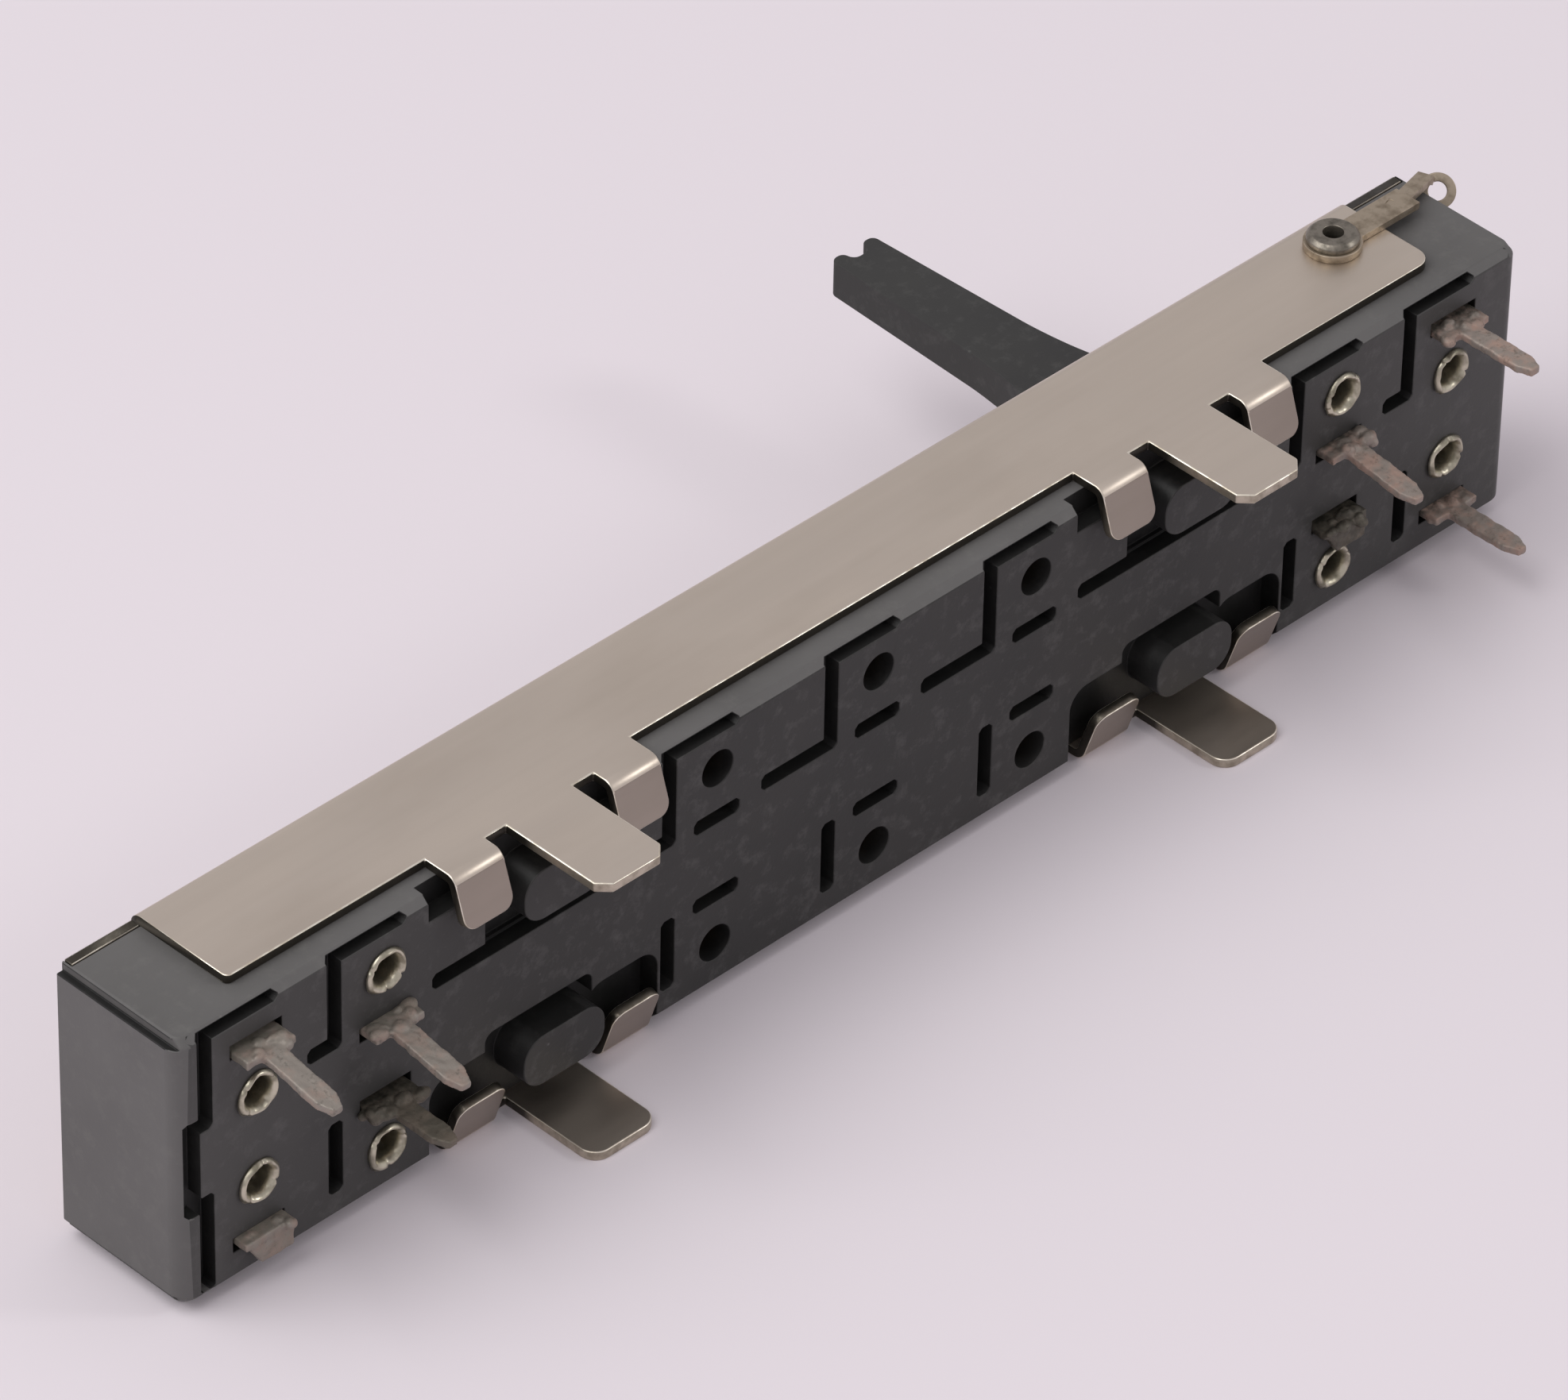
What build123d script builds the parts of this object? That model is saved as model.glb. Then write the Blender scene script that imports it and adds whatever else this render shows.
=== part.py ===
from build123d import *
import math
import os

# Two-gang slide potentiometer for a circuit board, lying on its lower side plate.
# +X runs along the travel, +Y is the way the lever points, +Z is up across the width.
# z = 0 is the outer face of the lower side plate, y = 0 is half the depth of the body,
# x = 0 is the middle of the hole pattern. All sizes are in millimetres.

# Travel, carriage and the housing that holds them
travel = 60.0
rest_offset = 25.4
carriage_length = 13.6
carriage_width = 12.9
carriage_depth = 3.9
side_clearance = 0.15
top_clearance = 0.15
end_gap = 3.0
end_wall = 2.2
end_lip = 0.4
lip_clearance = 0.05
side_wall = 0.9
floor_thickness = 1.6
wiper_room = 0.95
corner_radius = 0.9
end_chamfer = 0.4
back_chamfer = 0.12

# Sheet-steel cover
sheet = 0.5
bend_radius_outer = 0.6
bend_radius_inner = 0.1
plate_inset = 4.3
plate_setback = 1.6
web_corner_radius = 0.3
slot_side_clearance = 0.35
slot_end_clearance = 0.5

# Board tabs and clinch tabs on the two long edges of the cover
tab_spacing = 40.0
board_tab_width = 4.0
board_tab_length = 5.2
board_tab_chamfer = 0.6
lower_tab_length = 4.8
lower_tab_radius = 0.9
tab_root_setback = 0.9
clinch_width = 2.9
clinch_spacing = 9.4
clinch_slant = 18.0
clinch_corner = 0.65
upper_clinch_reach = 2.2
upper_clinch_bend = 0.42
upper_clinch_bulge = 0.04
lower_clinch_reach = 2.45
lower_clinch_bend = 0.5
lower_clinch_inset = 0.5

# Screw holes for the front panel, drawn into collars
panel_hole_inset = 3.0
panel_hole_radius = 1.25
collar_wall = 0.45
collar_depth = 1.2
collar_clearance = 0.3

# Element board and its prints
board_thickness = 0.6
board_end_clearance = 0.2
board_side_clearance = 0.1
print_thickness = 0.1
resistor_line = 3.1
collector_line = 0.95
resistor_width = 1.3
collector_width = 1.0
silver_pad_width = 1.6
silver_pad_length = 3.0

# Terminal pattern, on a 2.5 mm grid
column_inset = 2.3
column_step = 7.5
row_inset = 1.6
row_step = 2.5
slot_offset = 2.75
tap_pitch = 10.0
tap_count = 3
tap_hole_radius = 0.95
tap_slot_width = 2.8
slot_height = 0.8
slot_side_gap = 0.1

# Terminals
terminal_thickness = 0.4
shoulder_width = 2.8
shoulder_length = 1.0
pin_width = 1.15
pin_length = 5.2
pin_tip = 0.8
pin_tip_width = 0.5
foot_margin = 1.3
foot_clearance = 0.1
stub_length = 1.5
stub_lift = 0.35
short_pin_length = 4.3

# Hollow rivets that hold the terminals
eyelet_hole_radius = 0.7
eyelet_barrel_radius = 0.92
eyelet_flange_radius = 1.15
eyelet_flange_thickness = 0.3
eyelet_rim = 0.12
eyelet_head_radius = 1.25
eyelet_head_thickness = 0.3
barrel_clearance = 0.05

# Moulded relief on the board face
groove_width = 0.85
groove_depth = 0.9
slot_corner = 0.2
end_groove_width = 0.4
end_groove_depth = 0.35
end_groove_rim = 0.12
edge_groove_width = 0.5
edge_groove_rim = 0.12
groove_left = 2.95
groove_right = 1.3
groove_low = 2.55
lower_groove_high = 2.0
lower_groove_low = 6.0
groove_run = 4.3
long_groove_gap = 2.8
short_groove_run = 1.6
jog_offset = 0.75
jog_high = 2.4
jog_low = -2.1
foot_groove_low = 7.2
pocket_left = 4.05
pocket_right = 2.4
pocket_top = 2.25
pocket_radius = 0.5
pocket_depth = 1.15
lobe_left = 2.7
lobe_right = 1.75
lobe_top = 3.2
lobe_radius = 1.1
relief_top = 6.1
relief_depth = 0.95
boss_length = 4.9
boss_top = 3.35
boss_low = 6.1
boss_radius = 1.2
boss_lift = 0.8

# Slider lever
lever_thickness = 2.0
lever_reach = 19.5
neck_width = 8.0
neck_reach = 5.2
shoulder_radius = 2.2
blade_root_width = 3.7
blade_tip_width = 2.8
notch_depth = 0.85
notch_radius = 0.55
notch_width = 1.5
tip_radius = 0.3

# Wiper springs under the carriage
wiper_sheet = 0.15
wiper_base_length = 4.0
wiper_base_inset = 2.6
wiper_base_margin = 0.35
finger_width = 0.4
finger_spacing = 0.6
finger_rise = 0.5
finger_tip = 1.2
contact_clearance = 0.03
stake_radius = 0.45
stake_length = 0.35
stake_spacing = 2.0
stake_clearance = 0.03

# Earth lug on the upper side plate
lug_thickness = 0.4
lug_inset = 2.8
lug_depth = 2.3
lug_ring_radius = 1.4
lug_width = 1.5
lug_flat_length = 5.1
lug_overhang = 1.1
lug_drop = 1.4
lug_corner_gap = 0.15
lug_neck_width = 0.8
lug_neck_seat = 0.75
lug_eye_offset = 0.9
lug_eye_radius = 0.88
lug_eye_hole = 0.45
rivet_hole_radius = 0.5
rivet_barrel_radius = 0.8
rivet_flange_radius = 1.27
rivet_flange_thickness = 0.45
rivet_rim = 0.2
rivet_foot_radius = 1.2
rivet_foot_thickness = 0.3
rivet_relief = 0.3

# Sizes that follow from the ones above
cavity_length = travel + carriage_length + 2 * end_gap
cavity_width = carriage_width + 2 * side_clearance
housing_length = cavity_length + 2 * end_wall
housing_width = cavity_width + 2 * side_wall
housing_depth = floor_thickness + board_thickness + wiper_room + carriage_depth + top_clearance
overall_depth = housing_depth + sheet
half_length = housing_length / 2
half_width = housing_width / 2
mid_z = sheet + half_width
face_y = -overall_depth / 2
floor_y = face_y + floor_thickness
board_y = floor_y + board_thickness
print_y = board_y + print_thickness
carriage_low_y = board_y + wiper_room
carriage_high_y = carriage_low_y + carriage_depth
wiper_base_offset = carriage_length / 2 - wiper_base_inset
web_low_y = face_y + housing_depth
web_high_y = web_low_y + sheet
foot_y = floor_y - terminal_thickness
outer_column = cavity_length / 2 - column_inset
inner_column = outer_column - column_step
plate_half_length = half_length - plate_inset
panel_hole_x = half_length - panel_hole_inset
collar_radius = panel_hole_radius + collar_wall
inner_row = cavity_width / 2 - row_inset
outer_row = inner_row - row_step
tap_places = [tap_pitch * (i - (tap_count - 1) / 2) for i in range(tap_count)]
sides = {"upper": 1, "lower": -1}
tab_places = [-tab_spacing / 2, tab_spacing / 2]
# Reach, bend radius and place of the bend of the clinch tabs on either side
clinch_shapes = {
    1: (upper_clinch_reach, upper_clinch_bend, -upper_clinch_bulge),
    -1: (lower_clinch_reach, lower_clinch_bend, lower_clinch_inset),
}
lug_x = plate_half_length - lug_inset
lug_y = web_high_y - lug_depth
plate_high_z = mid_z + half_width + sheet

# Eyelet column, eyelet row and slot row of each terminal, for the gang of either side.
# The slots of the inner terminals lie towards the middle, the outer ones towards the edge.
inner_slot = inner_row - slot_offset
outer_slot = outer_row + slot_offset
terminal_places = {
    "outer_left": (-outer_column, outer_row, outer_slot),
    "inner_left": (-inner_column, inner_row, inner_slot),
    "inner_right": (inner_column, inner_row, inner_slot),
    "outer_right": (outer_column, outer_row, outer_slot),
}
# How far the tips of bent pins stand nearer the middle than straight ones
pin_droop = {
    "upper_outer_left": 0.7,
    "upper_inner_left": 0.75,
    "upper_inner_right": 0.6,
}
cut_terminals = ["lower_outer_left", "lower_inner_right"]
short_terminals = ["lower_inner_left"]


def box(x0, x1, y0, y1, z0, z1):
    """A box between two corners."""
    middle = Pos((x0 + x1) / 2, (y0 + y1) / 2, (z0 + z1) / 2)
    return middle * Box(abs(x1 - x0), abs(y1 - y0), abs(z1 - z0))


def side_box(side, x0, x1, y0, y1, high0, high1):
    """A box whose heights are measured from the middle towards one side plate."""
    return box(x0, x1, y0, y1, mid_z + side * high0, mid_z + side * high1)


def prism_y(outline, y_low, y_high):
    """An outline in X and Z, extruded along Y."""
    return extrude(Plane.XZ.offset(-y_high) * outline, amount=y_high - y_low)


def prism_z(outline, z_low, z_high):
    """An outline in X and Y, extruded along Z."""
    return extrude(Plane.XY.offset(z_low) * outline, amount=z_high - z_low)


def post(x, z, radius, y_low, y_high):
    """A cylinder along Y."""
    return prism_y(Pos(x, z) * Circle(radius), y_low, y_high)


def face_slot(side, x0, x1, high0, high1, depth):
    """A blind slot with cut corners in the board face."""
    outline = Rectangle(abs(x1 - x0), abs(high1 - high0))
    outline = chamfer(outline.vertices(), slot_corner)
    centre = Pos((x0 + x1) / 2, mid_z + side * (high0 + high1) / 2)
    return prism_y(centre * outline, face_y - 1, face_y + depth)


def pad_places():
    """The pads of the board face from left to right: x and whether a terminal is there."""
    taps = [(x, False) for x in tap_places]
    return [(-inner_column, True)] + taps + [(inner_column, True), (outer_column, True)]


def grooves():
    """Moulded grooves that frame each pad of the board face."""
    half = groove_width / 2
    top_high = half_width - edge_groove_rim
    top_low = top_high - edge_groove_width
    cuts = []
    places = pad_places()
    for index, (x, _) in enumerate(places):
        left = x - groove_left
        cuts.append(face_slot(1, left - half, x + groove_right, top_low, top_high, groove_depth))
        cuts.append(face_slot(1, left - half, left + half, groove_low - half, top_high, groove_depth))
        if index in (0, len(places) - 1):
            run_left = left - short_groove_run
        elif places[index][1] != places[index - 1][1]:
            run_left = places[index - 1][0] + long_groove_gap
        else:
            run_left = left - groove_run
        cuts.append(face_slot(1, run_left, left + half, groove_low - half, groove_low + half, groove_depth))
        cuts.append(face_slot(-1, left - half, left + half, lower_groove_high, lower_groove_low,
                              groove_depth))
    left = -outer_column - groove_left
    jog = left - jog_offset
    cuts.append(face_slot(1, left - half, -outer_column + groove_right, top_low, top_high, groove_depth))
    cuts.append(face_slot(1, left - half, left + half, jog_high - half, top_high, groove_depth))
    cuts.append(face_slot(1, jog - half, left + half, jog_high - half, jog_high + half, groove_depth))
    cuts.append(face_slot(1, jog - half, jog + half, jog_low - half, jog_high + half, groove_depth))
    cuts.append(face_slot(1, jog - half, left + half, jog_low - half, jog_low + half, groove_depth))
    cuts.append(face_slot(1, left - half, left + half, -foot_groove_low, jog_low + half, groove_depth))
    return cuts


def end_grooves():
    """Narrow groove just under each long edge of the two end faces."""
    high = half_width - end_groove_rim
    cuts = []
    for side in sides.values():
        for end in (-1, 1):
            cuts.append(side_box(side, end * (half_length - end_groove_depth), end * (half_length + 1),
                                 face_y - 1, web_low_y + 1, high - end_groove_width, high))
    return cuts


def pocket(side, x0, x1, top, low, radius, depth):
    """A blind pocket with rounded corners in the board face."""
    outline = RectangleRounded(x1 - x0, low - top, radius)
    centre = Pos((x0 + x1) / 2, mid_z + side * (top + low) / 2)
    return prism_y(centre * outline, face_y - 1, face_y + depth)


def tab_pockets(side, x):
    """Hollows around one board tab: one behind the boss and a relief behind each clinch tab."""
    beyond = half_width + 2 * lobe_radius
    cuts = [pocket(side, x - pocket_left, x + pocket_right, pocket_top, beyond, pocket_radius, pocket_depth)]
    for end in (-1, 1):
        middle = x + end * clinch_spacing / 2
        cuts.append(side_box(side, middle - lobe_left, middle + lobe_right, face_y - 1,
                             face_y + relief_depth, relief_top, half_width + 1))
        if side < 0:
            cuts.append(pocket(side, middle - lobe_left, middle + lobe_right, lobe_top, beyond,
                               lobe_radius, pocket_depth))
    return cuts


def boss(side, x):
    """Rounded standoff beside one board tab, on which the circuit board rests."""
    outline = RectangleRounded(boss_length, boss_low - boss_top, boss_radius)
    centre = Pos(x, mid_z + side * (boss_top + boss_low) / 2)
    return prism_y(centre * outline, face_y - boss_lift, face_y + pocket_depth)


def housing():
    """Moulded trough, open on the lever side, with solid end blocks."""
    body = box(-half_length, half_length, face_y, web_high_y, mid_z - half_width, mid_z + half_width)
    front = body.edges().filter_by(Axis.Z).sort_by(Axis.Y)[:2]
    body = fillet(front, corner_radius)
    ends = [e for e in body.edges().filter_by(Axis.Y) if abs(abs(e.center().X) - half_length) < 0.01]
    body = chamfer(ends, end_chamfer)
    between_lips = half_length - end_lip
    body -= box(-between_lips, between_lips, web_low_y, web_high_y + 1,
                mid_z - half_width - 1, mid_z + half_width + 1)
    back = [e for e in body.edges().filter_by(Axis.X)
            if abs(e.center().Y - web_low_y) < 0.01 and e.length > cavity_length]
    body = chamfer(back, back_chamfer)
    cuts = [box(-cavity_length / 2, cavity_length / 2, floor_y, web_high_y + 1,
                mid_z - cavity_width / 2, mid_z + cavity_width / 2)]
    for x in (-panel_hole_x, panel_hole_x):
        cuts.append(post(x, mid_z, collar_radius + collar_clearance, board_y, web_low_y + 1))
    for side in sides.values():
        for x, row, slot_row in terminal_places.values():
            cuts.append(post(x, mid_z + side * row, eyelet_barrel_radius + barrel_clearance,
                             face_y - 1, floor_y + 1))
            cuts.append(terminal_opening(side, x, row, slot_row))
        for x in tap_places:
            cuts.append(post(x, mid_z + side * inner_row, tap_hole_radius, face_y - 1, floor_y + 1))
            cuts.append(face_slot(side, x - tap_slot_width / 2, x + tap_slot_width / 2,
                                  inner_slot - slot_height / 2, inner_slot + slot_height / 2,
                                  floor_thickness + 1))
        for x in tab_places:
            cuts += tab_pockets(side, x)
    cuts += grooves() + end_grooves()
    relief = Pos(lug_x, lug_y) * Circle(rivet_foot_radius + rivet_relief)
    cuts.append(prism_z(relief, mid_z + cavity_width / 2 - 1, mid_z + half_width + 1))
    bosses = [boss(side, x) for side in sides.values() for x in tab_places]
    return (body - cuts) + bosses


def terminal_opening(side, x, row, slot_row):
    """Slot through the floor for one terminal and the seat for its foot."""
    half = shoulder_width / 2 + slot_side_gap
    away = 1 if slot_row > row else -1
    blade_near = slot_row - away * terminal_thickness / 2
    blade_far = blade_near + away * slot_height
    slot = side_box(side, x - half, x + half, face_y - 1, floor_y + 1, blade_near, blade_far)
    seat = side_box(side, x - half, x + half, foot_y, floor_y + 1,
                    row - away * (foot_margin + foot_clearance), slot_row)
    return slot + seat


def terminal(side_name, place_name):
    """Sheet-metal angle: a foot under the eyelet and a blade that leaves through its slot."""
    side = sides[side_name]
    x, row, slot_row = terminal_places[place_name]
    name = side_name + "_" + place_name
    away = 1 if slot_row > row else -1
    half = shoulder_width / 2
    near = slot_row - terminal_thickness / 2
    far = slot_row + terminal_thickness / 2
    edge = far if away > 0 else near
    foot = side_box(side, x - half, x + half, foot_y, floor_y, row - away * foot_margin, edge)
    foot -= post(x, mid_z + side * row, eyelet_barrel_radius + barrel_clearance, foot_y - 1, floor_y + 1)
    shoulder_y = face_y - shoulder_length
    if name in cut_terminals:
        return foot + cut_blade(side, x, near, far)
    blade = side_box(side, x - half, x + half, shoulder_y, floor_y, near, far)
    return foot + blade + terminal_pin(side, name, x, slot_row, shoulder_y)


def terminal_pin(side, name, x, slot_row, shoulder_y):
    """The narrow pointed pin of one terminal, drooping a little where it has been bent."""
    length = (short_pin_length if name in short_terminals else pin_length) - shoulder_length
    half = pin_width / 2
    tip = pin_tip_width / 2
    outline = Polyline((-half, 0.1), (half, 0.1), (half, pin_tip - length), (tip, -length),
                       (-tip, -length), (-half, pin_tip - length), close=True)
    pin = prism_z(make_face(outline), -terminal_thickness / 2, terminal_thickness / 2)
    droop = Vector(0, length, pin_droop.get(name, 0)).get_angle(Vector(0, length, 0))
    return Pos(x, shoulder_y, mid_z + side * slot_row) * Rot(droop, 0, 0) * pin


def cut_blade(side, x, near, far):
    """Blade that was snipped at its shoulder and folded flat towards the edge."""
    half = shoulder_width / 2
    out_y = face_y - stub_lift
    blade = side_box(side, x - half, x + half, out_y - terminal_thickness, floor_y, near, far)
    flap_outline = Polyline((-half, 0), (half, 0), (half, -stub_length), (-half / 3, -stub_length),
                            close=True)
    flap = prism_y(make_face(flap_outline), out_y - terminal_thickness, out_y)
    return blade + Pos(x, 0, mid_z + side * near) * flap


def hollow_rivet(hole, barrel, flange, rim, head, low, seat_low, seat_high, high):
    """Rivet along +Y with a hole: flange below seat_low, head above seat_high."""
    profile = Polyline((hole, low), (flange - rim, low), (flange, low + rim), (flange, seat_low),
                       (barrel, seat_low), (barrel, seat_high), (head, seat_high), (hole, high),
                       close=True)
    return revolve(make_face(profile), Axis.Y)


def eyelet(side, x, row):
    """Hollow rivet: flange outside, barrel through floor, foot and board, head inside."""
    rivet = hollow_rivet(eyelet_hole_radius, eyelet_barrel_radius, eyelet_flange_radius, eyelet_rim,
                         eyelet_head_radius, face_y - eyelet_flange_thickness, face_y, print_y,
                         print_y + eyelet_head_thickness)
    return Pos(x, 0, mid_z + side * row) * rivet


def element_board():
    """Laminate strip that carries the prints of both gangs."""
    half_x = cavity_length / 2 - board_end_clearance
    half_z = cavity_width / 2 - board_side_clearance
    board = box(-half_x, half_x, floor_y, board_y, mid_z - half_z, mid_z + half_z)
    for side in sides.values():
        for x, row, _ in terminal_places.values():
            board -= post(x, mid_z + side * row, eyelet_barrel_radius + barrel_clearance,
                          floor_y - 1, board_y + 1)
    return board


def resistor_track(side):
    """Carbon print between the two silver ends of one gang."""
    half_x = inner_column - silver_pad_length / 2
    return side_box(side, -half_x, half_x, board_y, print_y,
                    resistor_line - resistor_width / 2, resistor_line + resistor_width / 2)


def silver_prints(side):
    """Silver collector line and the two end pads under the eyelet heads of one gang."""
    line = side_box(side, -outer_column, outer_column, board_y, print_y,
                    collector_line - collector_width / 2, collector_line + collector_width / 2)
    pads = []
    for end in (-1, 1):
        near = end * (inner_column - silver_pad_length / 2)
        far = end * (inner_column + silver_pad_width)
        pads.append(side_box(side, near, far, board_y, print_y, resistor_line - resistor_width / 2,
                             inner_row - eyelet_barrel_radius - barrel_clearance))
    return Compound(children=[line] + pads)


def clinch_tab(side, x):
    """Tab that folds over the edge of the housing and stands a little off upright."""
    reach, bend, corner = clinch_shapes[side]
    high = mid_z + side * (half_width + sheet / 2)
    drop = sheet / 2 + reach
    corner_y = face_y + corner
    tip_y = corner_y - drop * math.tan(math.radians(clinch_slant))
    path = FilletPolyline((x, face_y + tab_root_setback, high), (x, corner_y, high),
                          (x, tip_y, high - side * drop), radius=bend)
    section = Plane(origin=path @ 0, x_dir=(1, 0, 0), z_dir=path % 0) * Rectangle(clinch_width, sheet)
    tab = sweep(section, path=path)
    corners = tab.edges().sort_by(lambda e: side * e.center().Z)
    end_edges = [e for e in corners[:8] if abs(e.length - sheet) < 0.02]
    return fillet(end_edges[:2], clinch_corner)


def side_plate(side):
    """Side plate of the cover with its board tabs, before the clinch tabs are bent."""
    front = face_y + plate_setback
    root = face_y + tab_root_setback
    group = clinch_spacing / 2 + clinch_width / 2
    half = board_tab_width / 2
    low_z, high_z = sorted((mid_z + side * half_width, mid_z + side * (half_width + sheet)))
    tip = face_y - (board_tab_length if side > 0 else lower_tab_length)
    plate = box(-plate_half_length, plate_half_length, front, web_low_y, low_z, high_z)
    for x in tab_places:
        plate += box(x - group, x + group, root, front, low_z, high_z)
        tab = box(x - half, x + half, tip, root, low_z, high_z)
        ends = [e for e in tab.edges().filter_by(Axis.Z) if e.center().Y < tip + 0.01]
        plate += chamfer(ends, board_tab_chamfer) if side > 0 else fillet(ends, lower_tab_radius)
    return plate


def cover():
    """Sheet-steel channel: web with the lever slot, two side plates, tabs and screw collars."""
    web_half_length = half_length - end_lip - lip_clearance
    web_outline = RectangleRounded(2 * web_half_length, housing_width + 2 * sheet, web_corner_radius)
    web = prism_y(Pos(0, mid_z) * web_outline, web_low_y, web_high_y)
    trim = plate_half_length
    for side in sides.values():
        for end in (-1, 1):
            web -= side_box(side, end * trim, end * (half_length + 1), web_low_y - 1, web_high_y + 1,
                            half_width, half_width + sheet + 1)
    body = web
    for side in sides.values():
        body += side_plate(side)
    outer = [e for e in body.edges().filter_by(Axis.X)
             if e.center().Y > web_high_y - 0.01 and e.length > plate_half_length]
    body = fillet(outer, bend_radius_outer)
    inner = [e for e in body.edges().filter_by(Axis.X)
             if abs(e.center().Y - web_low_y) < 0.01 and e.length > plate_half_length]
    body = fillet(inner, bend_radius_inner)
    for side in sides.values():
        for x in tab_places:
            for end in (-1, 1):
                body += clinch_tab(side, x + end * clinch_spacing / 2)
    slot = SlotOverall(travel + neck_width + 2 * slot_end_clearance,
                       lever_thickness + 2 * slot_side_clearance)
    body -= prism_y(Pos(0, mid_z) * slot, web_low_y - 1, web_high_y + 1)
    for x in (-panel_hole_x, panel_hole_x):
        body += post(x, mid_z, collar_radius, web_low_y - collar_depth, web_low_y)
        body -= post(x, mid_z, panel_hole_radius, web_low_y - collar_depth - 1, web_high_y + 1)
    hole = Pos(lug_x, lug_y) * Circle(rivet_barrel_radius + barrel_clearance)
    body -= prism_z(hole, plate_high_z - sheet - 0.5, plate_high_z + 1)
    return body


def slider():
    """Moulded carriage with the lever blade, at its resting place along the travel."""
    half = carriage_width / 2
    carriage = box(-carriage_length / 2, carriage_length / 2, carriage_low_y, carriage_high_y,
                   mid_z - half, mid_z + half)
    carriage = chamfer(carriage.edges().filter_by(Axis.Y), end_chamfer)
    for side in sides.values():
        for step in (-1, 1):
            carriage += stake(side, step)
    neck = neck_width / 2
    neck_y = web_high_y + neck_reach
    tip_y = web_high_y + lever_reach
    root = blade_root_width / 2
    tip = blade_tip_width / 2
    notch = notch_width / 2
    half_outline = [
        Polyline((0, carriage_high_y), (neck, carriage_high_y), (neck, neck_y)),
        RadiusArc((neck, neck_y), (root, neck_y + shoulder_radius), -shoulder_radius),
        Polyline((root, neck_y + shoulder_radius), (tip, tip_y), (notch, tip_y),
                 (0, tip_y - notch_depth), (0, carriage_high_y)),
    ]
    right = make_face(half_outline)
    blade = prism_z(right + mirror(right, Plane.YZ), mid_z - lever_thickness / 2, mid_z + lever_thickness / 2)
    tips = [e for e in blade.edges().filter_by(Axis.Z) if e.center().Y > tip_y - 0.01]
    blade = fillet(tips, tip_radius)
    bottom = [e for e in blade.edges().filter_by(Axis.Z)
              if abs(e.center().X) < 0.01 and e.center().Y > tip_y - 2 * notch_depth]
    blade = fillet(bottom, notch_radius)
    return Pos(rest_offset, 0, 0) * (carriage + blade)


def stake(side, step):
    """One moulded peg that holds a wiper spring under the carriage."""
    x = step * stake_spacing / 2 - wiper_base_offset
    z = mid_z + side * (resistor_line + collector_line) / 2
    return post(x, z, stake_radius, carriage_low_y - stake_length, carriage_low_y)


def wiper(side):
    """Bronze spring of one gang: a staked base and fingers that bridge the two tracks."""
    centre = (resistor_line + collector_line) / 2
    reach = (resistor_line - collector_line) / 2 + finger_spacing / 2 + finger_width / 2 + wiper_base_margin
    left = -wiper_base_offset - wiper_base_length / 2
    right = -wiper_base_offset + wiper_base_length / 2
    base_y = carriage_low_y - wiper_sheet
    base = side_box(side, left, right, base_y, carriage_low_y, centre - reach, centre + reach)
    for step in (-1, 1):
        x = step * stake_spacing / 2 - wiper_base_offset
        base -= post(x, mid_z + side * centre, stake_radius + stake_clearance, base_y - 1, carriage_low_y + 1)
    touch_y = print_y + contact_clearance + wiper_sheet / 2
    start_y = carriage_low_y - wiper_sheet / 2
    path = Polyline((right - wiper_sheet, start_y), (0, touch_y), (finger_tip, touch_y + finger_rise))
    profile = trace(path, line_width=wiper_sheet)
    for line in (collector_line, resistor_line):
        for step in (-1, 1):
            z = mid_z + side * (line + step * finger_spacing / 2)
            base += prism_z(profile, z - finger_width / 2, z + finger_width / 2)
    return Pos(rest_offset, 0, 0) * base


def ground_lug():
    """Earth lug: a ring under the rivet, a strip along the plate and a twisted eye past the end."""
    low = plate_high_z
    high = plate_high_z + lug_thickness
    strip = box(lug_x, lug_x + lug_flat_length, lug_y - lug_width / 2, lug_y + lug_width / 2, low, high)
    ring = prism_z(Pos(lug_x, lug_y) * Circle(lug_ring_radius), low, high)
    eye_centre = Vector(half_length + lug_overhang, lug_y + lug_eye_offset, plate_high_z - lug_drop)
    facing = Vector(-1, -1, 1).normalized()
    over_corner = Vector(half_length + lug_corner_gap, lug_y + lug_eye_offset, plate_high_z - sheet
                         + lug_corner_gap + lug_thickness / 2)
    away = over_corner - eye_centre
    away = (away - facing * away.dot(facing)).normalized()
    strip_end = Vector(lug_x + lug_flat_length - lug_neck_width, lug_y, (low + high) / 2)
    path = Polyline(strip_end, over_corner, eye_centre + away * lug_neck_seat)
    start = Plane(origin=path @ 0, x_dir=(0, 1, 0), z_dir=path % 0)
    section = start * Rectangle(lug_neck_width, lug_thickness)
    neck = sweep(section, path=path, transition=Transition.RIGHT)
    eye_plane = Plane(origin=eye_centre, x_dir=away, z_dir=facing)
    eye = extrude(eye_plane * Circle(lug_eye_radius), amount=lug_thickness / 2, both=True)
    eye_hole = extrude(eye_plane * Circle(lug_eye_hole), amount=lug_thickness, both=True)
    rivet_hole = Pos(lug_x, lug_y) * Circle(rivet_barrel_radius + barrel_clearance)
    rivet_hole = prism_z(rivet_hole, low - 1, high + 1)
    return strip + ring + neck + eye - eye_hole - rivet_hole


def ground_rivet():
    """Hollow rivet that clamps the earth lug to the side plate."""
    top = plate_high_z + lug_thickness
    bottom = plate_high_z - sheet
    rivet = hollow_rivet(rivet_hole_radius, rivet_barrel_radius, rivet_flange_radius, rivet_rim,
                         rivet_foot_radius, -rivet_flange_thickness, 0, top - bottom,
                         top - bottom + rivet_foot_thickness)
    return Pos(lug_x, lug_y, top) * Rot(-90, 0, 0) * rivet


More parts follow.
